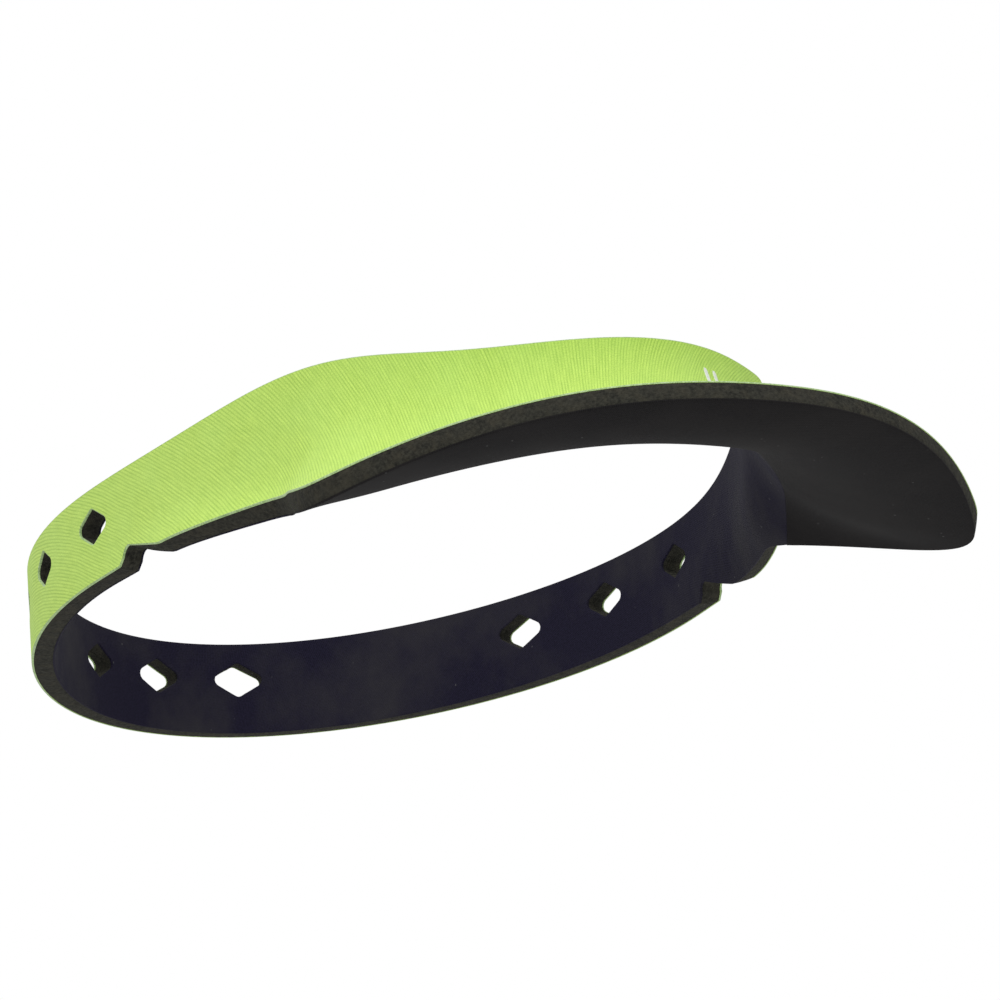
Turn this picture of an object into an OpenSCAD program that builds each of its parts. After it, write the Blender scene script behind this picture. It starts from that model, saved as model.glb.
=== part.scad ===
// Foam sun visor headband: one loop cut from a three-layer sheet (knit face, foam core, smooth
// lining) that stands as a narrow band round the head and folds out into a curled brim at the front.
// The wearer faces -Y, +Z is up, and the visor rests on its brim corners and the back of the band.

/* [Head loop] */
// Half of the loop's outside width, ear to ear
half_width = 66.5; // [60:0.5:85]
// Half of the loop's outside length, forehead to back of head
half_length = 101.5; // [75:0.5:105]
// How much narrower the front of the loop is than the back, as a share of its width
front_narrowing = 0.125; // [0:0.005:0.2]
// How much fuller than an oval the loop is between its front, sides and back, as a share, where a
// negative share is slimmer
loop_fullness = -0.03; // [-0.06:0.005:0.04]
// Height of the band round the back of the head
band_height = 18.4; // [14:0.1:30]
// How much higher the loop stands at the front than at the back
front_lift = 17.2; // [10:0.1:26]
// Extra height of the two crests of the forehead panel
crest_height = 5.8; // [0:0.1:10]
// Angle of each crest, counted round the loop from the middle of the front
crest_angle = 56; // [40:1:65]
// Angle over which a crest fades away
crest_spread = 19.5; // [10:0.5:25]

/* [Brim] */
// How far the brim reaches out from the loop
brim_reach = 41.5; // [20:0.5:60]
// Angle at which the brim starts to narrow
brim_full_angle = 39; // [30:1:50]
// Angle at which the brim has narrowed to its root
brim_end_angle = 62; // [56:1:70]
// How far the brim's narrow root stands out between there and the notch
root_reach = 2.8; // [0:0.1:5]
// Angles at which the root starts and ends merging into the band
root_full_angle = 75; // [70:1:80]
root_end_angle = 91; // [86:1:96]
// How far the brim's sides curl down, measured at the curl's half-width
brim_curl = 12.2; // [0:0.1:20]
curl_width = 75; // [60:1:90]
// How suddenly the curl sets in towards the sides, where 2 is an even bow
curl_power = 2.75; // [2:0.25:4]
// How long the curl lasts where the brim narrows, where 1 lets it fade as fast as the reach
curl_fade = 0.6; // [0.4:0.05:1]
// Tilt of the sheet at the brim's front edge, where 90 is upright and 0 is level
brim_tilt = -26; // [-30:1:20]
// Angle at which the sheet starts to turn upright
upright_from = 0; // [0:1:40]
// Angle at which the sheet stands fully upright
upright_to = 104; // [95:1:130]

/* [Layers] */
// Thickness of the knit face
face_t = 0.45; // [0.3:0.05:0.8]
// Thickness of the foam core
foam_t = 3.8; // [2:0.1:6]
// Thickness of the smooth linings
lining_t = 0.4; // [0.3:0.05:0.8]
// How far outside the loop's top edge the band's lining ends and the brim's lining begins
lining_joint = 3; // [2:0.5:8]

/* [Slots and notches] */
// Length of a diamond slot along the band
slot_length = 11.5; // [6:0.5:14]
// Height of a diamond slot
slot_height = 7; // [4:0.2:9]
// Radius of a diamond slot's corners
slot_corner = 1.3; // [0.5:0.1:1.5]
// Angle of the middle slot of each side group
side_slot_angle = 109.5; // [106:0.5:116]
// Angle between neighbouring slots of a side group
side_slot_pitch = 15.8; // [12:0.2:17]
// Angle between neighbouring slots of the back group
back_slot_pitch = 15.5; // [12:0.5:17]
// Angle of the back group's middle slot, a little off the middle of the back
back_slot_angle = 188; // [174:0.5:190]
// Height of the slots' centres as a share of the band's height
slot_level = 0.6; // [0.4:0.01:0.65]
// Angle of the small notch where the brim meets the band
notch_angle = 86; // [82:1:91]
// Radius of that notch's round back end, and how far its middle lies above the band's lower edge
notch_radius = 2; // [1:0.1:3]
notch_rise = 1.4; // [0:0.1:3]
// Length of the notch's taper towards the front
notch_taper = 12; // [4:0.5:16]

/* [Forehead print] */
// Thickness of the print's film
print_t = 0.15; // [0.1:0.05:0.3]
// Height of the print
print_height = 9; // [5:0.5:12]
// Angle of the first bar from the middle of the forehead, towards +X
print_angle = 11; // [-10:0.5:20]
// Angle between neighbouring bars
print_pitch = 2.6; // [1.5:0.1:4]
// Angle that one bar's width takes up
print_turn = 1; // [0.5:0.1:1.4]
// Angle by which a bar's upper end leans past its lower end
print_slant = 1.5; // [0:0.1:4]

/* [Hidden] */

sheet_t = face_t + foam_t + lining_t;
// Columns of the sheet's mesh round the loop, and rows from its top edge to its rim
columns = 120;
rows = 8;
// How far the sheet's bend starts below the top edge and ends before the rim, as a share
bend_top = 0.7;
bend_rim = 0.55;
// Place of the loop's centre, which puts the origin under the middle of the whole part
loop_y = (brim_reach - sheet_t * sin(brim_tilt)) / 2;
// Number of the print's bars, the rows of each one's mesh, and how far up the sheet they start
print_bars = 2;
print_rows = 6;
print_low = 0.52;
// How far the cutting tools reach past the sheet
cut_margin = 3;
// A height above the whole part
height_limit = 2 * (front_lift + band_height + crest_height);

// A share that grows smoothly from 0 at a to 1 at b
function ease(x, a, b) =
    let (t = min(max((x - a) / (b - a), 0), 1))
    t * t * (3 - 2 * t);

// Angle from the middle of the front, the same on both sides
function from_front(a) = abs(a > 180 ? a - 360 : a);

// How much of the sheet is brim at angle a, from 1 at the front to 0 along the band
function brim_share(a) = 1 - ease(from_front(a), brim_full_angle, brim_end_angle);

// Plan of the loop's top edge, and its outward direction
function loop_xy(a) =
    [0, loop_y]
    + (1 + loop_fullness * pow(sin(2 * a), 2))
    * [half_width * sin(a) * (1 - front_narrowing * cos(a)), -half_length * cos(a)];
function loop_out(a) =
    let (along = loop_xy(a + 0.5) - loop_xy(a - 0.5))
    [along.y, -along.x] / norm(along);

// Height of the band's lower edge, which rises in a straight slope towards the front
function band_z(a) = front_lift * (1 + cos(a)) / 2;
function crest(a) =
    crest_height * exp(-pow((from_front(a) - crest_angle) / crest_spread, 2));
function top_z(a) = band_z(a) + band_height + crest(a);

// Reach and height of the sheet's outer rim, and its tilt there
function root_share(a) = 1 - ease(from_front(a), root_full_angle, root_end_angle);
function rim_out(a) =
    brim_reach * brim_share(a) + root_reach * (1 - brim_share(a)) * root_share(a);
function rim_x(a) = loop_xy(a).x + loop_out(a).x * rim_out(a);
function rim_z(a) =
    band_z(a)
    - brim_curl * pow(brim_share(a), curl_fade) * pow(abs(rim_x(a)) / curl_width, curl_power);
function rim_tilt(a) =
    brim_tilt + (90 - brim_tilt) * ease(from_front(a), upright_from, upright_to);

// The sheet's section at angle a is a curve in the plane of the outward direction and +Z: it starts
// straight down from the top edge and ends at the rim with the rim's tilt
function section_poles(a) =
    let (
        top = [0, top_z(a)],
        rim = [rim_out(a), rim_z(a)],
        drop = top.y - rim.y,
        tilt = rim_tilt(a)
    )
    [
        top,
        top - [0, bend_top * drop],
        rim - bend_rim * (rim.x + drop / 2 * pow(sin(tilt), 2)) * [cos(tilt), -sin(tilt)],
        rim
    ];
function curve_point(p, t) =
    pow(1 - t, 3) * p[0] + 3 * pow(1 - t, 2) * t * p[1] + 3 * (1 - t) * t * t * p[2] + t * t * t * p[3];
function curve_slope(p, t) =
    pow(1 - t, 2) * (p[1] - p[0]) + 2 * (1 - t) * t * (p[2] - p[1]) + t * t * (p[3] - p[2]);

// Point of the sheet at angle a, share t of the way down its section and a depth below its knit face
function sheet_point(a, t, depth) =
    let (
        p = section_poles(a),
        s = curve_slope(p, t),
        c = curve_point(p, t) - depth * [-s.y, s.x] / norm(s),
        xy = loop_xy(a) + c.x * loop_out(a)
    )
    [xy.x, xy.y, c.y];

// One layer of the sheet all the way round, between two depths below the knit face
module layer(depth_out, depth_in) {
    side = columns * (rows + 1);
    points = [
        for (depth = [depth_out, depth_in], i = [0:columns - 1], j = [0:rows])
            sheet_point(360 * i / columns, j / rows, depth)
    ];
    function at(s, i, j) = s * side + (i % columns) * (rows + 1) + j;
    function quad(a, b, c, d) = [[a, b, c], [a, c, d]];
    faces = [
        for (i = [0:columns - 1]) each [
            for (j = [0:rows - 1]) each concat(
                quad(at(0, i, j), at(0, i, j + 1), at(0, i + 1, j + 1), at(0, i + 1, j)),
                [for (f = quad(at(1, i, j), at(1, i, j + 1), at(1, i + 1, j + 1), at(1, i + 1, j)))
                    [f[2], f[1], f[0]]]
            ),
            each quad(at(0, i, 0), at(0, i + 1, 0), at(1, i + 1, 0), at(1, i, 0)),
            each quad(at(0, i, rows), at(1, i, rows), at(1, i + 1, rows), at(0, i + 1, rows))
        ]
    ];
    polyhedron(points, faces, convexity = 10);
}

// Outline of a diamond slot with rounded corners
module diamond() {
    offset(slot_corner, $fn = 24)
        polygon([
            [slot_length / 2 - slot_corner * 1.2, 0],
            [0, slot_height / 2 - slot_corner],
            [slot_corner * 1.2 - slot_length / 2, 0],
            [0, slot_corner - slot_height / 2]
        ]);
}

// Outline of the notch, open at the band's lower edge and tapering towards -X
module notch() {
    translate([0, notch_rise])
        circle(notch_radius, $fn = 24);
    polygon([
        [0, notch_rise + notch_radius],
        [-notch_taper, 0],
        [0, -notch_radius],
        [notch_radius, -notch_radius],
        [notch_radius, notch_rise],
        [0, notch_rise]
    ]);
}

// Places children on the band at angle a and a height above its lower edge, facing outwards
module on_band(a, height) {
    xy = loop_xy(a);
    translate([xy.x, xy.y, band_z(a) + height])
        rotate([0, 0, atan2(loop_out(a).y, loop_out(a).x) + 90])
            rotate([90, 0, 0])
                children();
}

module cuts() {
    depth = 2 * (sheet_t + cut_margin);
    for (k = [-1:1], a = [
        side_slot_angle + k * side_slot_pitch,
        back_slot_angle + k * back_slot_pitch,
        -side_slot_angle - k * side_slot_pitch
    ])
        on_band(a, band_height * slot_level)
            linear_extrude(depth, center = true)
                diamond();
    for (side = [-1, 1])
        on_band(side * notch_angle, 0)
            linear_extrude(3 * depth, center = true)
                mirror([side < 0 ? 1 : 0, 0])
                    notch();
}

module outer_fabric() {
    color([0.70, 0.86, 0.40])
        difference() {
            layer(0, face_t);
            cuts();
        }
}

module foam_core() {
    color([0.19, 0.19, 0.18])
        difference() {
            layer(face_t, face_t + foam_t);
            cuts();
        }
}

// Everything inside the plan outline along which the two linings meet
module inside_joint() {
    linear_extrude(height_limit)
        polygon([
            for (i = [0:columns - 1])
                let (a = 360 * i / columns)
                loop_xy(a) + lining_joint * loop_out(a)
        ]);
}

module band_lining() {
    color([0.12, 0.12, 0.17])
        difference() {
            intersection() {
                layer(face_t + foam_t, sheet_t);
                inside_joint();
            }
            cuts();
        }
}

module brim_lining() {
    color([0.16, 0.16, 0.15])
        difference() {
            layer(face_t + foam_t, sheet_t);
            inside_joint();
        }
}

// One upright bar of film on the knit face, whose lower end stands at angle a
module print_stroke(a) {
    level = [print_low, print_low + print_height / (band_height + crest_height)];
    function film(i, j, depth) =
        sheet_point(
            a + print_slant * j / print_rows + print_turn * (i == 0 ? -1 : 1) / 2,
            1 - (level[0] + (level[1] - level[0]) * j / print_rows),
            depth
        );
    points = [
        for (j = [0:print_rows], c = [[0, -print_t], [1, -print_t], [1, 0], [0, 0]])
            film(c[0], j, c[1])
    ];
    sides = [
        for (j = [0:print_rows - 1], k = [0:3])
            let (p = 4 * j + k, q = 4 * j + (k + 1) % 4)
            each [[p, p + 4, q + 4], [p, q + 4, q]]
    ];
    ends = [[0, 1, 2], [0, 2, 3]];
    top = [for (f = ends) [for (v = [2:-1:0]) f[v] + 4 * print_rows]];
    polyhedron(points, concat(sides, ends, top));
}

// Slanted bars of film on the forehead panel
module forehead_print() {
    color("white")
        for (k = [0:print_bars - 1])
            print_stroke(print_angle + k * print_pitch);
}

outer_fabric();
foam_core();
band_lining();
brim_lining();
forehead_print();
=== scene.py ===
"""Looks of the foam sun visor headband: a knit-faced, lined foam loop with a curled brim at the front.

Lengths are in metres and angles in degrees. The wearer faces -Y and +Z is up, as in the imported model.
The functions below repeat that model's sheet surface, so every detailed piece lies where its solid does,
apart from the rim near the brim's two ends, which is eased and lies up to 0.6 mm off the solid's, and
from the cut edges, which are rounded and uneven by less than 0.2 mm.
"""

import math

import bmesh
import bpy
import numpy as np
from mathutils import Matrix, Vector

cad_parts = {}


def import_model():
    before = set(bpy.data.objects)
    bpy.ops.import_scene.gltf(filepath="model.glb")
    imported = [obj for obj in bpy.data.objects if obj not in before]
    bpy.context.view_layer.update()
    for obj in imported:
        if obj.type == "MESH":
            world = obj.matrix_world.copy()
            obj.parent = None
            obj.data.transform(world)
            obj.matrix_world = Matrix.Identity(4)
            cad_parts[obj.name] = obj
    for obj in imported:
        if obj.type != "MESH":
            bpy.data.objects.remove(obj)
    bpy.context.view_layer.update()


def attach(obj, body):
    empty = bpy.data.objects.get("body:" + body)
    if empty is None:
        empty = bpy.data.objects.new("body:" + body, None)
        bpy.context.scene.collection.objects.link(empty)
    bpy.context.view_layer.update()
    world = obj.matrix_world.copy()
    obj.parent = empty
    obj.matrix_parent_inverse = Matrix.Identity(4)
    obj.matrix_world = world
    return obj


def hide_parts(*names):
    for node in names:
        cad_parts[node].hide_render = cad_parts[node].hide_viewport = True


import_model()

MM = 0.001

# Head loop, brim and layers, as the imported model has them. 0 degrees is the middle of the front.
HALF_WIDTH = 66.5 * MM
HALF_LENGTH = 101.5 * MM
FRONT_NARROWING = 0.125
LOOP_FULLNESS = -0.03
BAND_HEIGHT = 18.4 * MM
FRONT_LIFT = 17.2 * MM
CREST_HEIGHT = 5.8 * MM
CREST_ANGLE = 56
CREST_SPREAD = 19.5
BRIM_REACH = 41.5 * MM
BRIM_FULL_ANGLE = 39
BRIM_END_ANGLE = 62
ROOT_REACH = 2.8 * MM
ROOT_FULL_ANGLE = 75
ROOT_END_ANGLE = 91
BRIM_CURL = 12.2 * MM
CURL_WIDTH = 75 * MM
CURL_POWER = 2.75
BRIM_TILT = -26
UPRIGHT_FROM = 0
UPRIGHT_TO = 104
FACE_T = 0.45 * MM
FOAM_T = 3.8 * MM
LINING_T = 0.4 * MM
SHEET_T = FACE_T + FOAM_T + LINING_T
LINING_JOINT = 3 * MM
BEND_TOP = 0.7
BEND_RIM = 0.55
LOOP_Y = (BRIM_REACH - SHEET_T * math.sin(math.radians(BRIM_TILT))) / 2

# How the soft rim is eased where the brim runs into its root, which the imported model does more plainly
CURL_FROM = 40
CURL_TO = 60.5
CURL_SHAPE = 1.85
RIM_STEPS = (-3, -1.5, 0, 1.5, 3)
RIM_WEIGHTS = (1, 2, 3, 2, 1)

# Slots and notches. A slot's long tips are rounded about points TIP_INSET corner radii in from them.
SLOT_LENGTH = 11.5 * MM
SLOT_HEIGHT = 7 * MM
SLOT_CORNER = 1.3 * MM
TIP_INSET = 1.2
SLOT_LEVEL = 0.6
SIDE_SLOT_ANGLE = 109.5
SIDE_SLOT_PITCH = 15.8
BACK_SLOT_ANGLE = 188
BACK_SLOT_PITCH = 15.5
NOTCH_ANGLE = 86
NOTCH_RADIUS = 2 * MM
NOTCH_RISE = 1.4 * MM
NOTCH_TAPER = 12 * MM
SLOT_ANGLES = sorted(
    [side * (SIDE_SLOT_ANGLE + k * SIDE_SLOT_PITCH) % 360 for side in (-1, 1) for k in (-1, 0, 1)]
    + [BACK_SLOT_ANGLE + k * BACK_SLOT_PITCH for k in (-1, 0, 1)]
)

# Forehead print. A bar narrows over the last PRINT_ROUND of its half height, until the square of its
# width is down to PRINT_END, and its outer edge has PRINT_EDGE of its thickness.
PRINT_T = 0.15 * MM
PRINT_BARS = 2
PRINT_HEIGHT = 9 * MM
PRINT_ANGLE = 11
PRINT_PITCH = 2.6
PRINT_TURN = 1
PRINT_SLANT = 1.5
PRINT_LOW = 0.52
PRINT_ROUND = 0.04
PRINT_END = 0.35
PRINT_EDGE = 0.35

# Mesh of the sheet: column spacing in degrees, rows from the top edge to the rim, rings round a slot.
# Rows and rings crowd towards the edges by a power.
PLAIN_COLUMN = 0.75
FINE_COLUMN = 0.3
NOTCH_COLUMNS = 15
SLOT_BLOCK = 1.6 * MM
BLOCK_ROWS = 14
TOP_ROWS = 8
RIM_ROWS = 13
BRIM_ROWS = 33
ROW_CROWDING = 1.5
SLOT_RINGS = 5
RING_CROWDING = 1.3
OUTLINE_POINTS = 720
SECTION_STEPS = 49
PRINT_COLUMNS = 8
PRINT_ROWS = 24
SHARP_ANGLE = 50
TINY = 1e-12


# ---------------------------------------------------------------- the sheet's surface

def ease(x, a, b):
    """Smooth step from 0 at a to 1 at b."""
    t = np.clip((x - a) / (b - a), 0, 1)
    return t * t * (3 - 2 * t)


def from_front(a):
    """Angle to the middle of the front, from 0 to 180."""
    return np.abs((a + 180) % 360 - 180)


def brim_share(a):
    """How much of the brim's reach is left at each angle."""
    return 1 - ease(from_front(a), BRIM_FULL_ANGLE, BRIM_END_ANGLE)


def loop_xy(a):
    """Plan of the loop's top edge."""
    r = np.radians(a)
    full = 1 + LOOP_FULLNESS * np.sin(2 * r) ** 2
    x = full * HALF_WIDTH * np.sin(r) * (1 - FRONT_NARROWING * np.cos(r))
    return np.stack([x, LOOP_Y - full * HALF_LENGTH * np.cos(r)], -1)


def loop_out(a):
    """Outward direction of that plan."""
    along = loop_xy(a + 0.5) - loop_xy(a - 0.5)
    return np.stack([along[..., 1], -along[..., 0]], -1) / np.linalg.norm(along, axis=-1, keepdims=True)


def band_z(a):
    """Height of the band's lower edge."""
    return FRONT_LIFT * (1 + np.cos(np.radians(a))) / 2


def top_z(a):
    """Height of the band's top edge, with a soft crest to each side of the front."""
    off_crest = (from_front(a) - CREST_ANGLE) / CREST_SPREAD
    return band_z(a) + BAND_HEIGHT + CREST_HEIGHT * np.exp(-off_crest ** 2)


def curl_share(a):
    """How much of the brim's curl is left at each angle. It holds a little longer than in the solid."""
    t = np.clip((from_front(a) - CURL_FROM) / (CURL_TO - CURL_FROM), 0, 1)
    return 1 - t ** CURL_SHAPE


def rim_place(a):
    """Reach and height of the rim at each angle."""
    share = brim_share(a)
    root = 1 - ease(from_front(a), ROOT_FULL_ANGLE, ROOT_END_ANGLE)
    out = BRIM_REACH * share + ROOT_REACH * (1 - share) * root
    x = loop_xy(a)[..., 0] + loop_out(a)[..., 0] * out
    drop = BRIM_CURL * curl_share(a) * (np.abs(x) / CURL_WIDTH) ** CURL_POWER
    return np.stack([out, band_z(a) - drop], -1)


def section_poles(a):
    """Four poles of the sheet's section at each angle, in the plane of the outward direction and +Z."""
    # The soft sheet can't turn a sharp corner, so the rim is eased over a few degrees to each side
    rim = sum(w * rim_place(a + d) for w, d in zip(RIM_WEIGHTS, RIM_STEPS)) / sum(RIM_WEIGHTS)
    # At its rim the sheet slopes like the brim in front and stands upright towards the back
    tilt = np.radians(BRIM_TILT + (90 - BRIM_TILT) * ease(from_front(a), UPRIGHT_FROM, UPRIGHT_TO))
    top = np.stack([0 * a, top_z(a)], -1)
    drop = top[..., 1] - rim[..., 1]
    reach = BEND_RIM * (rim[..., 0] + drop / 2 * np.sin(tilt) ** 2)
    first = top - np.stack([0 * a, BEND_TOP * drop], -1)
    second = rim - reach[..., None] * np.stack([np.cos(tilt), -np.sin(tilt)], -1)
    return [top, first, second, rim]


def curve_point(p, t):
    """Point of the cubic curve with poles p."""
    t = t[..., None]
    return (1 - t) ** 3 * p[0] + 3 * (1 - t) ** 2 * t * p[1] + 3 * (1 - t) * t * t * p[2] + t ** 3 * p[3]


def curve_slope(p, t):
    """Direction of that curve, of no set length."""
    t = t[..., None]
    return (1 - t) ** 2 * (p[1] - p[0]) + 2 * (1 - t) * t * (p[2] - p[1]) + t * t * (p[3] - p[2])


def run_down(a):
    """Length along the section at even steps of its curve parameter, for each angle."""
    steps = np.linspace(0, 1, SECTION_STEPS)
    poles = [p[:, None, :] for p in section_poles(a)]
    points = curve_point(poles, steps[None, :])
    run = np.cumsum(np.linalg.norm(np.diff(points, axis=1), axis=-1), axis=1)
    return steps, np.concatenate([np.zeros((len(a), 1)), run], axis=1)


def section_length(a):
    """Length of the whole section, from the top edge to the rim."""
    return run_down(a)[1][:, -1]


def curve_share(a, t):
    """Share of length for a share t of the section curve's own parameter."""
    steps, run = run_down(a)
    k = np.clip((t * (len(steps) - 1)).astype(int), 0, len(steps) - 2)
    row = np.arange(len(a))
    part = t * (len(steps) - 1) - k
    return (run[row, k] * (1 - part) + run[row, k + 1] * part) / run[:, -1]


def sheet_point(a, u, depth):
    """Points at angle a, share u of the length down the section and a depth below the knit face."""
    a, u, depth = np.broadcast_arrays(*(np.asarray(v, float) for v in (a, u, depth)))
    steps, run = run_down(a)
    target = u * run[:, -1]
    k = np.clip((run < target[:, None]).sum(1), 1, len(steps) - 1)
    row = np.arange(len(a))
    low, high = run[row, k - 1], run[row, k]
    t = steps[k - 1] + (target - low) / (high - low) * (steps[k] - steps[k - 1])
    poles = section_poles(a)
    slope = curve_slope(poles, t)
    normal = np.stack([-slope[:, 1], slope[:, 0]], -1) / np.linalg.norm(slope, axis=-1, keepdims=True)
    c = curve_point(poles, t) - depth[:, None] * normal
    xy = loop_xy(a) + c[:, :1] * loop_out(a)
    return np.column_stack([xy, c[:, 1]])


def flat_point(a, u):
    """Where that point lies on the cut blank before it is folded up, as (x, y)."""
    return loop_xy(a) + (u * section_length(a))[:, None] * loop_out(a)


# ---------------------------------------------------------------- layouts: the mesh in (angle, share)

class Layout:
    """Vertices (a, u), quads between them and open edges, each a ring of (vertex, its inner neighbour)."""

    def __init__(self):
        self.a, self.u, self.quads, self.edges = [], [], [], []

    def add(self, a, u):
        """Adds vertices and gives their numbers in an array of the same shape."""
        start = sum(len(x) for x in self.a)
        self.a.append(np.ravel(a))
        self.u.append(np.ravel(u))
        return start + np.arange(np.size(a)).reshape(np.shape(a))

    def close(self):
        self.a, self.u = np.concatenate(self.a), np.concatenate(self.u)
        return self


def filled(breaks, spacing):
    """Angles from the first break to the last one, with every break among them."""
    out = []
    for (low, high), step in zip(zip(breaks, breaks[1:]), spacing):
        out += list(np.linspace(low, high, max(1, math.ceil((high - low) / step - 1e-6)), endpoint=False))
    return out + [breaks[-1]]


def along_speed(a):
    """Length along the loop for each degree at angle a."""
    a = np.atleast_1d(np.asarray(a, float))
    return float(np.linalg.norm(loop_xy(a + 0.5) - loop_xy(a - 0.5), axis=-1)[0])


def slot_block(a):
    """Half-width of the block of columns round the slot at angle a, in degrees."""
    return (SLOT_LENGTH / 2 + SLOT_BLOCK / 2) / along_speed(a)


def notch_half(a):
    """Half-width of a notch at angle a, in degrees."""
    return NOTCH_RADIUS / along_speed(a)


def column_angles():
    """Angles of the mesh's columns once round, finer at the slots and notches."""
    marks = []
    for side in (NOTCH_ANGLE, 360 - NOTCH_ANGLE):
        half = notch_half(side)
        marks += [(side - half, side + half, None)]
    for a in SLOT_ANGLES:
        marks += [(a - slot_block(a), a + slot_block(a), FINE_COLUMN)]
    angles, at = [], 0.0
    for low, high, step in sorted(marks):
        angles += filled([at, low], [PLAIN_COLUMN])[:-1]
        if step is None:  # a notch: columns crowd where its round end is steep
            middle, half = (low + high) / 2, (high - low) / 2
            angles += list(middle - half * np.cos(np.linspace(0, np.pi, NOTCH_COLUMNS)))[:-1]
        else:
            angles += filled([low, high], [step])[:-1]
        at = high
    angles += filled([at, 360.0], [PLAIN_COLUMN])[:-1]
    return np.array(angles)


def notch_depth(a):
    """How far the notches cut up into the sheet from its rim, at each angle."""
    out = np.zeros(len(a))
    for side in (NOTCH_ANGLE, 360 - NOTCH_ANGLE):
        x = (a - side) * along_speed(side) * (1 if side < 180 else -1)
        arch = NOTCH_RISE + np.sqrt(np.clip(NOTCH_RADIUS ** 2 - x ** 2, 0, None))
        taper = (NOTCH_RISE + NOTCH_RADIUS) * (1 + x / NOTCH_TAPER)
        out = np.maximum(out, np.where((x > 0) & (x < NOTCH_RADIUS + 1e-6), arch, 0))
        out = np.maximum(out, np.where(x <= 0, np.maximum(taper, 0), 0))
    return out


def rim_share(a):
    """Share of the section's length at which the sheet ends."""
    return 1 - notch_depth(a) / section_length(a)


def slot_outline():
    """Rounded diamond outline as (x, y) points, counted by angle."""
    tips = [
        (SLOT_LENGTH / 2 - TIP_INSET * SLOT_CORNER, 0),
        (0, SLOT_HEIGHT / 2 - SLOT_CORNER),
        (TIP_INSET * SLOT_CORNER - SLOT_LENGTH / 2, 0),
        (0, SLOT_CORNER - SLOT_HEIGHT / 2),
    ]
    points = []
    for k, tip in enumerate(tips):
        before, after = tips[k - 1], tips[(k + 1) % 4]
        low = math.atan2(tip[1] - before[1], tip[0] - before[0]) - math.pi / 2
        high = math.atan2(after[1] - tip[1], after[0] - tip[0]) - math.pi / 2
        high += 2 * math.pi * math.ceil((low - high) / (2 * math.pi))
        for turn in np.linspace(low, high, OUTLINE_POINTS // 4):
            points.append((tip[0] + SLOT_CORNER * math.cos(turn), tip[1] + SLOT_CORNER * math.sin(turn)))
    return np.array(points)


def row_shares():
    """Rows from the top edge (0) to the rim (1); a slot's block lies between two of them."""
    half = (SLOT_HEIGHT / 2 + SLOT_BLOCK) / BAND_HEIGHT
    upper, lower = 1 - SLOT_LEVEL - half, 1 - SLOT_LEVEL + half
    top = upper * np.linspace(0, 1, TOP_ROWS, endpoint=False) ** ROW_CROWDING
    middle = np.linspace(upper, lower, BLOCK_ROWS, endpoint=False)
    rim = 1 - (1 - lower) * (1 - np.linspace(0, 1, RIM_ROWS)) ** ROW_CROWDING
    return np.concatenate([top, middle, rim]), TOP_ROWS, TOP_ROWS + BLOCK_ROWS


def block_ring(i0, i1, j0, j1):
    """Grid places round a block of columns i0 to i1 and rows j0 to j1, once round."""
    return (
        [(i, j1) for i in range(i0, i1)]
        + [(i1, j) for j in range(j1, j0, -1)]
        + [(i, j0) for i in range(i1, i0, -1)]
        + [(i0, j) for j in range(j0, j1)]
    )


def ring_quads(layout, outer, inner):
    """Quads between two rings of as many vertices."""
    n = len(outer)
    for k in range(n):
        m = (k + 1) % n
        layout.quads.append((outer[k], outer[m], inner[m], inner[k]))


def slot_edge(slot, half, a_out, u_out):
    """Places on a slot's outline that face the given places round its block, as (a, u)."""
    outline = slot_outline()
    speed = along_speed(slot)
    height = SLOT_HEIGHT / 2 + SLOT_BLOCK
    turn = np.arctan2((1 - SLOT_LEVEL - u_out) * BAND_HEIGHT / height, (a_out - slot) / half)
    outline_turn = np.arctan2(outline[:, 1] / height, outline[:, 0] / (half * speed))
    order = np.argsort(outline_turn)
    x = np.interp(turn, outline_turn[order], outline[order, 0], period=2 * np.pi)
    y = np.interp(turn, outline_turn[order], outline[order, 1], period=2 * np.pi)
    a_in = slot + x / speed
    level = band_z(slot) + BAND_HEIGHT * SLOT_LEVEL
    return a_in, (top_z(a_in) - level - y) / (top_z(a_in) - band_z(a_in))


def slot_rings(layout, outer, a_out, u_out, a_in, u_in):
    """Rings of quads from a block's outer vertices in to the slot's outline, which is an open edge."""
    last = outer
    for k in range(1, SLOT_RINGS + 1):
        share = 1 - (1 - k / SLOT_RINGS) ** RING_CROWDING
        new = layout.add(a_out + share * (a_in - a_out), u_out + share * (u_in - u_out))
        ring_quads(layout, last, new)
        before, last = last, new
    layout.edges.append((last, before))


def loop_layout(limit):
    """The whole loop with its slots. limit(a) is the share at which the sheet ends at each angle."""
    angles = column_angles()
    rows, j0, j1 = row_shares()
    n, m = len(angles), len(rows)
    layout = Layout()
    at = layout.add(*np.broadcast_arrays(angles[:, None], rows[None, :] * limit(angles)[:, None]))
    skip = set()
    for slot in SLOT_ANGLES:
        half = slot_block(slot)
        i0 = int(np.argmin(np.abs(angles - (slot - half))))
        i1 = int(np.argmin(np.abs(angles - (slot + half))))
        skip |= {(i, j) for i in range(i0, i1) for j in range(j0, j1)}
        ring = block_ring(i0, i1, j0, j1)
        outer = np.array([at[i, j] for i, j in ring])
        a_out = np.array([angles[i] for i, _ in ring])
        u_out = np.array([rows[j] for _, j in ring])
        slot_rings(layout, outer, a_out, u_out, *slot_edge(slot, half, a_out, u_out))
    for i in range(n):
        for j in range(m - 1):
            if (i, j) not in skip:
                k = (i + 1) % n
                layout.quads.append((at[i, j], at[i, j + 1], at[k, j + 1], at[k, j]))
    layout.edges.append((at[:, 0], at[:, 1]))
    layout.edges.append((at[:, m - 1], at[:, m - 2]))
    return layout.close()


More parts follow.
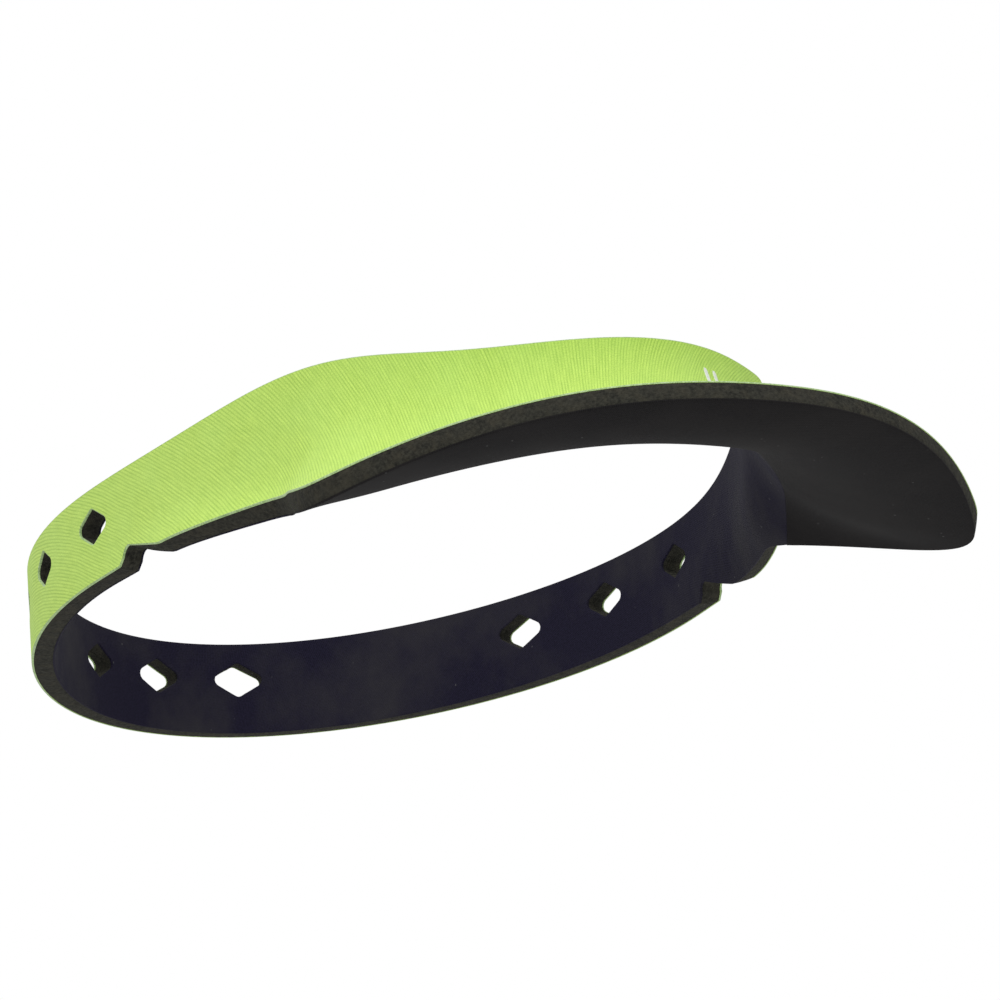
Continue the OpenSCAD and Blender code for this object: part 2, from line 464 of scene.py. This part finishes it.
def joint_share(a):
    """Share at which the two linings meet, where the lining stands the joint's distance off the loop.
    It is found by halving."""
    low, high = np.zeros(len(a)), np.ones(len(a))
    centre = loop_xy(a)
    out = loop_out(a)
    for _ in range(24):
        middle = (low + high) / 2
        reach = ((sheet_point(a, middle, SHEET_T)[:, :2] - centre) * out).sum(1)
        low = np.where(reach < LINING_JOINT, middle, low)
        high = np.where(reach < LINING_JOINT, high, middle)
    return (low + high) / 2


def band_limit(a):
    """Share at which the band's lining ends: at the sheet's rim, or sooner at the brim."""
    return np.minimum(rim_share(a), joint_share(a))


def brim_layout():
    """The part of the sheet outside the linings' joint, from one end of the brim to the other."""
    trial = np.linspace(0, 90, 1801)
    last = trial[joint_share(trial) < 0.999].max()
    angles = np.array(filled([-last, last], [PLAIN_COLUMN]))
    rows = np.linspace(0, 1, BRIM_ROWS)
    start = joint_share(angles)
    layout = Layout()
    at = layout.add(*np.broadcast_arrays(
        angles[:, None], start[:, None] + rows[None, :] * (1 - start)[:, None]))
    n, m = at.shape
    for i in range(n - 1):
        for j in range(m - 1):
            layout.quads.append((at[i, j], at[i, j + 1], at[i + 1, j + 1], at[i + 1, j]))
    ring = block_ring(0, n - 1, 0, m - 1)
    inside = [(min(max(i, 1), n - 2), min(max(j, 1), m - 2)) for i, j in ring]
    layout.edges.append((
        np.array([at[i, j] for i, j in ring]),
        np.array([at[i, j] for i, j in inside]),
    ))
    return layout.close()


# ---------------------------------------------------------------- shells: a layer as a closed mesh

def edge_outward(layout, ring, inside, depth):
    """Unit vectors in the sheet and square to its edge, pointing out of it, for the vertices of an edge."""
    here = sheet_point(layout.a[ring], layout.u[ring], depth)
    out = here - sheet_point(layout.a[inside], layout.u[inside], depth)
    along = np.roll(here, -1, axis=0) - np.roll(here, 1, axis=0)
    along /= np.linalg.norm(along, axis=1, keepdims=True) + TINY
    out -= (out * along).sum(1, keepdims=True) * along
    return out / (np.linalg.norm(out, axis=1, keepdims=True) + TINY)


def wander(a, u):
    """How a cut edge strays along its length, at most two units either way."""
    return np.sin(2.9 * a + 1.3) + 0.6 * np.sin(7.1 * a) + 0.4 * np.sin(40 * u)


def shell(name, layout, profile, face_material, edge_material, waver=0.0):
    """A closed layer. profile is [(depth, swell), ...] from its outer face to its inner one, where swell
    is how far the cut edge stands out there. waver is how unevenly the edge was cut."""
    a, u = layout.a, layout.u
    ends = (profile[0][0], profile[-1][0])
    count = len(a)
    flat = flat_point(a, u)
    points = [sheet_point(a, u, depth) for depth in ends]
    flats = [np.column_stack([flat, np.full(count, depth)]) for depth in ends]
    quads = [tuple(q) for q in layout.quads]
    quads += [tuple(count + v for v in reversed(q)) for q in layout.quads]
    face_count = len(quads)
    total = 2 * count
    for ring, inside in layout.edges:
        out = edge_outward(layout, ring, inside, sum(ends) / 2)
        wave = waver * wander(a[ring], u[ring])
        rings = []
        for k, (depth, swell) in enumerate(profile):
            if 0 < k < len(profile) - 1:
                points.append(sheet_point(a[ring], u[ring], depth) + (swell + wave)[:, None] * out)
                flats.append(np.column_stack([flat[ring], np.full(len(ring), depth)]))
                rings.append(total + np.arange(len(ring)))
                total += len(ring)
            else:
                side = 0 if k == 0 else 1
                points[side][ring] += swell * out
                rings.append(ring + side * count)
        for outer, inner in zip(rings, rings[1:]):
            n = len(outer)
            quads += [(outer[i], outer[(i + 1) % n], inner[(i + 1) % n], inner[i]) for i in range(n)]
    return mesh_piece(name, np.concatenate(points), quads, np.concatenate(flats),
                      [face_material, edge_material], face_count)


def mesh_piece(name, points, quads, flats, materials, face_count):
    """A mesh object whose first face_count faces have the first material and the others the last one."""
    mesh = bpy.data.meshes.new(name)
    mesh.from_pydata(points.tolist(), [], [tuple(int(v) for v in q) for q in quads])
    attribute = mesh.attributes.new("flat", "FLOAT_VECTOR", "POINT")
    attribute.data.foreach_set("vector", flats.astype(np.float32).ravel())
    for material in materials:
        mesh.materials.append(material)
    index = np.zeros(len(mesh.polygons), np.int32)
    index[face_count:] = len(materials) - 1
    mesh.polygons.foreach_set("material_index", index)
    edit = bmesh.new()
    edit.from_mesh(mesh)
    bmesh.ops.recalc_face_normals(edit, faces=edit.faces)
    edit.to_mesh(mesh)
    edit.free()
    mesh.polygons.foreach_set("use_smooth", np.ones(len(mesh.polygons), bool))
    mesh.set_sharp_from_angle(angle=math.radians(SHARP_ANGLE))
    piece = bpy.data.objects.new(name, mesh)
    bpy.context.scene.collection.objects.link(piece)
    return piece


# ---------------------------------------------------------------- materials
# Noise and cell scales are counts per metre, and colours are linear.

class Surface:
    """A material being built: it makes nodes and joins them to its Principled shader."""

    def __init__(self, name):
        self.material = bpy.data.materials.new(name)
        self.material.use_nodes = True
        self.tree = self.material.node_tree
        self.shader = self.tree.nodes["Principled BSDF"]

    def put(self, socket, value):
        if isinstance(value, bpy.types.NodeSocket):
            self.tree.links.new(value, socket)
        else:
            socket.default_value = value

    def node(self, kind, inputs=(), output=0, **settings):
        made = self.tree.nodes.new("ShaderNode" + kind)
        for key, value in settings.items():
            setattr(made, key, value)
        for key, value in dict(inputs).items():
            self.put(made.inputs[key], value)
        return made.outputs[output]

    def math(self, operation, a, b=0.0):
        return self.node("Math", {0: a, 1: b}, operation=operation)

    def times(self, a, b):
        return self.math("MULTIPLY", a, b)

    def plus(self, a, b):
        return self.math("ADD", a, b)

    def humps(self, value, factor):
        """A row of round humps from 0 to 1, pi apart in value times factor."""
        return self.math("ABSOLUTE", self.math("SINE", self.times(value, factor)))

    def flat(self):
        """Place on the cut blank, which every mesh carries, so that grain follows the cloth."""
        return self.node("Attribute", output="Vector", attribute_name="flat")

    def split(self, vector):
        made = self.tree.nodes.new("ShaderNodeSeparateXYZ")
        self.put(made.inputs[0], vector)
        return made.outputs

    def noise(self, vector, scale, detail, roughness=0.5):
        inputs = {"Vector": vector, "Scale": scale, "Detail": detail, "Roughness": roughness}
        return self.node("TexNoise", inputs)

    def cells(self, vector, scale):
        return self.node("TexVoronoi", {"Vector": vector, "Scale": scale}, output="Distance")

    def between(self, share, low, high):
        """A colour from low to high."""
        made = self.tree.nodes.new("ShaderNodeMix")
        made.data_type = "RGBA"
        self.put(made.inputs[0], share)
        self.put(made.inputs[6], (*low, 1) if isinstance(low, tuple) else low)
        self.put(made.inputs[7], (*high, 1) if isinstance(high, tuple) else high)
        return made.outputs[2]

    def spread(self, value, low, high, to_low=0.0, to_high=1.0):
        """value carried from low..high to to_low..to_high, and held at the ends."""
        return self.node("MapRange", {0: value, 1: low, 2: high, 3: to_low, 4: to_high})

    def bump(self, height, distance, strength):
        normal = self.node("Bump", {"Height": height, "Distance": distance, "Strength": strength})
        self.put(self.shader.inputs["Normal"], normal)

    def finish(self, colour, roughness, specular, sheen=0.0, sheen_roughness=0.5,
               sheen_tint=(1, 1, 1, 1)):
        self.put(self.shader.inputs["Base Color"], colour)
        self.put(self.shader.inputs["Roughness"], roughness)
        self.shader.inputs["Sheen Weight"].default_value = sheen
        self.shader.inputs["Sheen Roughness"].default_value = sheen_roughness
        self.shader.inputs["Sheen Tint"].default_value = sheen_tint
        self.shader.inputs["Specular IOR Level"].default_value = specular
        return self.material


RIB_PITCH = 0.66 * MM
RIB_TURN = 24
RIB_DRIFT = 1.2 * MM
STITCH_PITCH = 0.55 * MM
JERSEY_RIB = 0.42 * MM


def turned(look, vector, degrees):
    """Coordinates on the blank across and along a grain turned that far from its middle line."""
    x, y, _ = look.split(vector)
    cosine, sine = math.cos(math.radians(degrees)), math.sin(math.radians(degrees))
    across = look.math("SUBTRACT", look.times(x, cosine), look.times(y, sine))
    along = look.plus(look.times(x, sine), look.times(y, cosine))
    return across, along


def knit_material():
    """Lime knit with fine, slightly broken ribs that run askew on the blank, and painted shade in the
    grooves between the ribs and between the stitches.
    """
    look = Surface("lime_rib_knit")
    flat = look.flat()
    across, along = turned(look, flat, RIB_TURN)
    drift = look.math("SUBTRACT", look.noise(flat, 60.0, 2.0), 0.5)
    across = look.plus(across, look.times(drift, RIB_DRIFT))
    phase = look.math("DIVIDE", across, RIB_PITCH)
    rib = look.humps(phase, math.pi)
    own = look.node("TexWhiteNoise", {"W": look.math("FLOOR", phase)}, noise_dimensions="1D")
    loops = look.plus(look.math("DIVIDE", along, STITCH_PITCH), own)
    loop = look.humps(loops, math.pi)
    streak = look.noise(look.node("CombineXYZ", {0: across, 1: look.times(along, 0.16)}), 1700.0, 2.0)
    broken = look.noise(look.node("CombineXYZ", {0: across, 1: look.times(along, 0.4)}), 420.0, 2.0)
    patch = look.noise(flat, 90.0, 3.0)
    grain = look.noise(flat, 3600.0, 3.0)
    crown = look.math("POWER", rib, 0.6)
    # Painted shade: the colour darkens in the grooves between the ribs, down to the darker end of the green
    # below. Streak, own, grain and patch are the yarn's own uneven tone.
    light = look.spread(crown, 0.0, 1.0, 0.28, 1.0)
    light = look.between(look.spread(broken, 0.35, 0.65, 0.0, 0.55), light, (0.84, 0.84, 0.84))
    light = look.times(light, look.spread(streak, 0.3, 0.7, 0.76, 1.0))
    # Painted shade: the colour darkens in the gaps between the stitches.
    light = look.times(light, look.spread(loop, 0.0, 0.7, 0.93, 1.0))
    light = look.times(light, look.spread(own, 0.0, 1.0, 0.93, 1.0))
    light = look.times(light, look.spread(grain, 0.3, 0.6, 0.62, 1.0))
    colour = look.between(light, (0.23, 0.43, 0.065), (0.735, 0.985, 0.215))
    colour = look.between(look.spread(patch, 0.35, 0.7, 0.0, 0.2), colour, (0.57, 0.86, 0.23))
    height = look.plus(look.times(crown, 0.7), look.times(loop, 0.25))
    height = look.plus(height, look.times(streak, 0.6))
    height = look.plus(height, look.times(grain, 0.5))
    look.bump(height, 0.07 * MM, 0.6)
    return look.finish(colour, 0.9, 0.18, sheen=0.1, sheen_tint=(0.85, 1.0, 0.7, 1))


def knit_edge_material():
    """The knit's cut edge: paler and bluer, with cut yarn ends standing on it."""
    look = Surface("knit_cut_edge")
    flat = look.flat()
    ends = look.noise(flat, 2600.0, 2.0)
    tuft = look.noise(flat, 420.0, 3.0)
    colour = look.between(look.spread(ends, 0.35, 0.65), (0.28, 0.42, 0.17), (0.52, 0.70, 0.33))
    colour = look.between(look.spread(tuft, 0.5, 0.75, 0.0, 0.6), colour, (0.56, 0.68, 0.48))
    look.bump(ends, 0.1 * MM, 0.9)
    return look.finish(colour, 0.95, 0.1, sheen=0.2)


def foam_material():
    """Charcoal closed-cell foam, cut through its cells, with painted shade in the cut cells."""
    look = Surface("charcoal_foam")
    spot = look.node("TexCoord", output="Object")
    cells = look.cells(spot, 3200.0)
    grain = look.noise(spot, 1500.0, 3.0)
    drag = look.noise(spot, 420.0, 3.0)
    patch = look.noise(spot, 160.0, 3.0)
    colour = look.between(look.spread(grain, 0.35, 0.68), (0.017, 0.017, 0.014), (0.046, 0.045, 0.035))
    colour = look.between(look.spread(drag, 0.45, 0.72, 0.0, 0.5), colour, (0.062, 0.056, 0.038))
    colour = look.between(look.spread(patch, 0.4, 0.75, 0.0, 0.45), colour, (0.042, 0.041, 0.033))
    # Painted shade: the colour darkens towards the middle of each cut cell, where the bump sinks a pit.
    colour = look.between(look.spread(cells, 0.0, 0.24, 0.6, 0.0), colour, (0.009, 0.009, 0.008))
    height = look.plus(look.times(cells, 1.2), grain)
    look.bump(height, 0.1 * MM, 0.9)
    return look.finish(colour, 0.95, 0.16)


def lining_material(name, dark, light, warm):
    """Smooth jersey: faint fine ribs with painted shade in their grooves, a slightly uneven dye and a few
    pale specks of lint.
    """
    look = Surface(name)
    flat = look.flat()
    x, y, _ = look.split(flat)
    fine = look.humps(x, math.pi / JERSEY_RIB)
    cross = look.humps(y, math.pi / (1.3 * JERSEY_RIB))
    grain = look.noise(flat, 2400.0, 3.0)
    patch = look.noise(flat, 34.0, 5.0, 0.65)
    lint = look.cells(flat, 230.0)
    # Partly painted shade: the fine ribs lighten their crests and darken their grooves. The grain is the
    # cloth's own uneven tone.
    share = look.plus(look.times(grain, 0.7), look.times(fine, 0.3))
    colour = look.between(look.spread(share, 0.3, 0.75), dark, light)
    colour = look.between(look.spread(patch, 0.42, 0.66, 0.0, 0.75), colour, warm)
    colour = look.between(look.spread(lint, 0.035, 0.06, 0.5, 0.0), colour, (0.12, 0.12, 0.12))
    height = look.plus(look.times(fine, 0.6), look.times(cross, 0.4))
    height = look.plus(height, look.times(grain, 0.8))
    look.bump(height, 0.05 * MM, 0.7)
    return look.finish(colour, 0.85, 0.12, sheen=0.015, sheen_roughness=0.4)


def film_material():
    """White heat-transfer film with a faint fine rib."""
    look = Surface("white_transfer_film")
    flat = look.flat()
    x, _, _ = look.split(flat)
    rib = look.humps(x, math.pi / RIB_PITCH)
    speck = look.noise(flat, 1800.0, 2.0)
    colour = look.between(look.spread(speck, 0.3, 0.7), (0.78, 0.80, 0.78), (0.90, 0.91, 0.89))
    look.bump(look.plus(rib, look.times(speck, 0.4)), 0.04 * MM, 0.6)
    return look.finish(colour, 0.5, 0.4)


# ---------------------------------------------------------------- pieces

def place(piece, node):
    """Puts a detailed piece in the place of its solid."""
    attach(piece, "root")
    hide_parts(node)
    return piece


def outer_fabric(layout):
    """The knit, which is rounded over at its cut edge."""
    profile = [(0, -0.16 * MM), (0.02 * MM, -0.09 * MM), (0.06 * MM, -0.03 * MM), (0.14 * MM, 0.02 * MM),
               (0.30 * MM, 0.05 * MM), (FACE_T, 0.04 * MM)]
    piece = shell("outer_fabric_knit", layout, profile, knit_material(), knit_edge_material())
    return place(piece, "outer_fabric")


def foam_core(layout):
    """The foam, whose cut edge swells out between the two skins and is slightly uneven."""
    swell, inset = 0.16 * MM, 0.05 * MM
    profile = [(FACE_T + t * FOAM_T, swell * (1 - (2 * t - 1) ** 4) - inset) for t in np.linspace(0, 1, 8)]
    foam = foam_material()
    piece = shell("foam_core_sheet", layout, profile, foam, foam, waver=0.035 * MM)
    return place(piece, "foam_core")


def lining_profile():
    """A lining's cut edge, rounded over towards its inner face."""
    start = FACE_T + FOAM_T
    return [(start, 0.03 * MM), (start + 0.22 * MM, 0.04 * MM), (start + 0.32 * MM, 0),
            (start + 0.38 * MM, -0.06 * MM), (SHEET_T, -0.14 * MM)]


def band_lining():
    """The loop's lining, a strip that ends at the sheet's rim, or sooner at the brim."""
    layout = loop_layout(band_limit)
    navy = lining_material("navy_jersey", (0.0066, 0.0058, 0.0145), (0.0165, 0.0142, 0.0340),
                           (0.0330, 0.0315, 0.0360))
    piece = shell("band_lining_jersey", layout, lining_profile(), navy, navy)
    return place(piece, "band_lining")


def brim_lining():
    """The lining under the brim, which meets the loop's lining at the fold."""
    layout = brim_layout()
    charcoal = lining_material("charcoal_jersey", (0.0060, 0.0056, 0.0058), (0.0155, 0.0142, 0.0148),
                               (0.0175, 0.0160, 0.0158))
    piece = shell("brim_lining_jersey", layout, lining_profile(), charcoal, charcoal)
    return place(piece, "brim_lining")


def bar_width(j):
    """Share of a printed bar's width at share j of its height, narrowed at both ends."""
    past = np.clip(np.abs(2 * j - 1) - (1 - PRINT_ROUND), 0, None)
    return np.sqrt(np.clip(1 - (past / PRINT_ROUND) ** 2, PRINT_END, 1))


def print_bar(first_angle, start):
    """Points, flat places and quads of one slanted bar of film, with its vertices numbered from start."""
    low, high = PRINT_LOW, PRINT_LOW + PRINT_HEIGHT / (BAND_HEIGHT + CREST_HEIGHT)
    across, up = np.linspace(-1, 1, PRINT_COLUMNS + 1), np.linspace(0, 1, PRINT_ROWS + 1)
    i, j = np.meshgrid(across, up, indexing="ij")
    a = (first_angle + PRINT_SLANT * j + PRINT_TURN / 2 * i * bar_width(j)).ravel()
    u = curve_share(a, 1 - (low + (high - low) * j).ravel())
    edge = np.maximum(np.abs(i), np.abs(2 * j - 1)).ravel()
    lift = np.where(edge > 0.999, PRINT_EDGE * PRINT_T, PRINT_T)
    n = a.size
    at = start + np.arange(n).reshape(i.shape)
    points = [sheet_point(a, u, -lift), sheet_point(a, u, np.zeros(n))]
    flats = [np.column_stack([flat_point(a, u), np.zeros(n)])] * 2
    quads = []
    for p in range(PRINT_COLUMNS):
        for q in range(PRINT_ROWS):
            face = (at[p, q], at[p + 1, q], at[p + 1, q + 1], at[p, q + 1])
            quads += [face, tuple(v + n for v in reversed(face))]
    ring = [at[p, q] for p, q in block_ring(0, PRINT_COLUMNS, 0, PRINT_ROWS)]
    quads += [(v, w, w + n, v + n) for v, w in zip(ring, ring[1:] + ring[:1])]
    return points, flats, quads


def forehead_print():
    """Plain slanted bars of film on the knit face, thinner along their edges."""
    points, flats, quads = [], [], []
    for k in range(PRINT_BARS):
        bar = print_bar(PRINT_ANGLE + k * PRINT_PITCH, sum(len(p) for p in points))
        points += bar[0]
        flats += bar[1]
        quads += bar[2]
    piece = mesh_piece("forehead_print_film", np.concatenate(points), quads, np.concatenate(flats),
                       [film_material()], len(quads))
    return place(piece, "forehead_print")


# ---------------------------------------------------------------- studio

CAMERA_AZIMUTH = -27.76
CAMERA_ELEVATION = -12.05
CAMERA_ROLL = -3.12
CAMERA_DISTANCE = 2.5
CAMERA_LENS = 457.8
CAMERA_AIM = (16.3 * MM, 26.0 * MM)
WORLD_LIGHT = 0.62
LIGHT_AIM = (0, 0, 0.02)


def camera():
    """A long lens that looks up at the visor, aimed a little off the loop's centre."""
    a, e, r = (math.radians(v) for v in (CAMERA_AZIMUTH, CAMERA_ELEVATION, CAMERA_ROLL))
    back = Vector((math.sin(a) * math.cos(e), -math.cos(a) * math.cos(e), math.sin(e)))
    level = Vector((math.cos(a), math.sin(a), 0))
    above = back.cross(level)
    right = math.cos(r) * level + math.sin(r) * above
    up = -math.sin(r) * level + math.cos(r) * above
    centre = Vector((0, LOOP_Y, 0))
    spot = centre + CAMERA_DISTANCE * back
    aim = centre + CAMERA_AIM[0] * right + CAMERA_AIM[1] * up
    back = (spot - aim).normalized()
    right = up.cross(back).normalized()
    up = back.cross(right)
    data = bpy.data.cameras.new("camera")
    data.lens = CAMERA_LENS
    data.sensor_width = 36
    piece = bpy.data.objects.new("camera", data)
    turn = Matrix((right, up, back)).transposed().to_4x4()
    piece.matrix_world = Matrix.Translation(spot) @ turn
    bpy.context.scene.collection.objects.link(piece)
    bpy.context.scene.camera = piece


def softbox(name, spot, size, power):
    """A round white light that faces the visor."""
    data = bpy.data.lights.new(name, "AREA")
    data.shape = "DISK"
    data.size = size
    data.energy = power
    piece = bpy.data.objects.new(name, data)
    piece.location = spot
    piece.rotation_euler = (Vector(spot) - Vector(LIGHT_AIM)).to_track_quat("Z", "Y").to_euler()
    bpy.context.scene.collection.objects.link(piece)


def world():
    """White to the camera, and a dimmer even light on everything else."""
    made = bpy.data.worlds.new("studio")
    made.use_nodes = True
    tree = made.node_tree
    background = tree.nodes["Background"]
    path = tree.nodes.new("ShaderNodeLightPath")
    mix = tree.nodes.new("ShaderNodeMix")
    mix.inputs[2].default_value = WORLD_LIGHT
    mix.inputs[3].default_value = 1.0
    tree.links.new(path.outputs["Is Camera Ray"], mix.inputs[0])
    tree.links.new(mix.outputs[0], background.inputs["Strength"])
    background.inputs["Color"].default_value = (1, 1, 1, 1)
    bpy.context.scene.world = made


def floor():
    """A wide pale floor, low enough to stay under the camera's line of sight."""
    mesh = bpy.data.meshes.new("floor")
    half, low = 12.0, -0.9
    mesh.from_pydata([(-half, -half, low), (half, -half, low), (half, half, low), (-half, half, low)], [],
                     [(0, 1, 2, 3)])
    mesh.materials.append(Surface("pale_floor").finish((0.88, 0.88, 0.88, 1), 0.9, 0.1))
    piece = bpy.data.objects.new("floor", mesh)
    bpy.context.scene.collection.objects.link(piece)


def studio():
    """White surroundings, a floor, three softboxes and plain colours."""
    world()
    floor()
    softbox("top_softbox", (-0.5, -0.4, 1.6), 1.4, 14)
    softbox("front_softbox", (0.9, -1.5, 0.5), 1.0, 0.8)
    softbox("left_softbox", (-1.0, -1.3, 0.2), 1.0, 2.6)
    bpy.context.scene.view_settings.view_transform = "Standard"


camera()
whole = loop_layout(rim_share)
outer_fabric(whole)
foam_core(whole)
band_lining()
brim_lining()
forehead_print()
studio()
